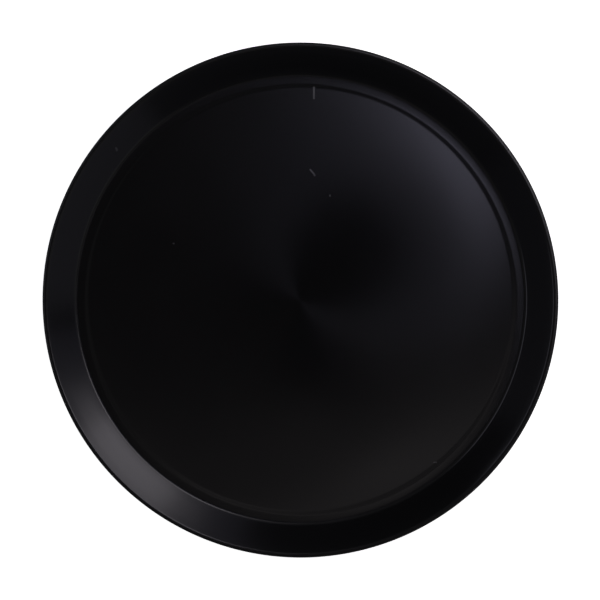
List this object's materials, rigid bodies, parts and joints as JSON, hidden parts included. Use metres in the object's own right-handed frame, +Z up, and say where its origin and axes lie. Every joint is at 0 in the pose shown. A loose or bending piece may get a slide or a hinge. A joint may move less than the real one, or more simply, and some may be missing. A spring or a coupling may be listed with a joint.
{
  "type": "serving tray",
  "caption": "Round flat serving tray in black-coated sheet metal, with a low sloping wall and a rolled, wire-stiffened rim.",
  "frame": {"origin": "centre of the tray, on the plane that it stands on", "axes": "+Z up along the tray's axis of revolution, from the table towards the open side; X and Y are any two directions across the tray"},
  "size_m": [0.4, 0.4, 0.021],
  "materials": {
    "black_coat": "satin",
    "wire_steel": "satin"
  },
  "bodies": {
    "root": {"tray_pan": "black_coat", "rim_wire": "wire_steel"}
  },
  "joints": []
}
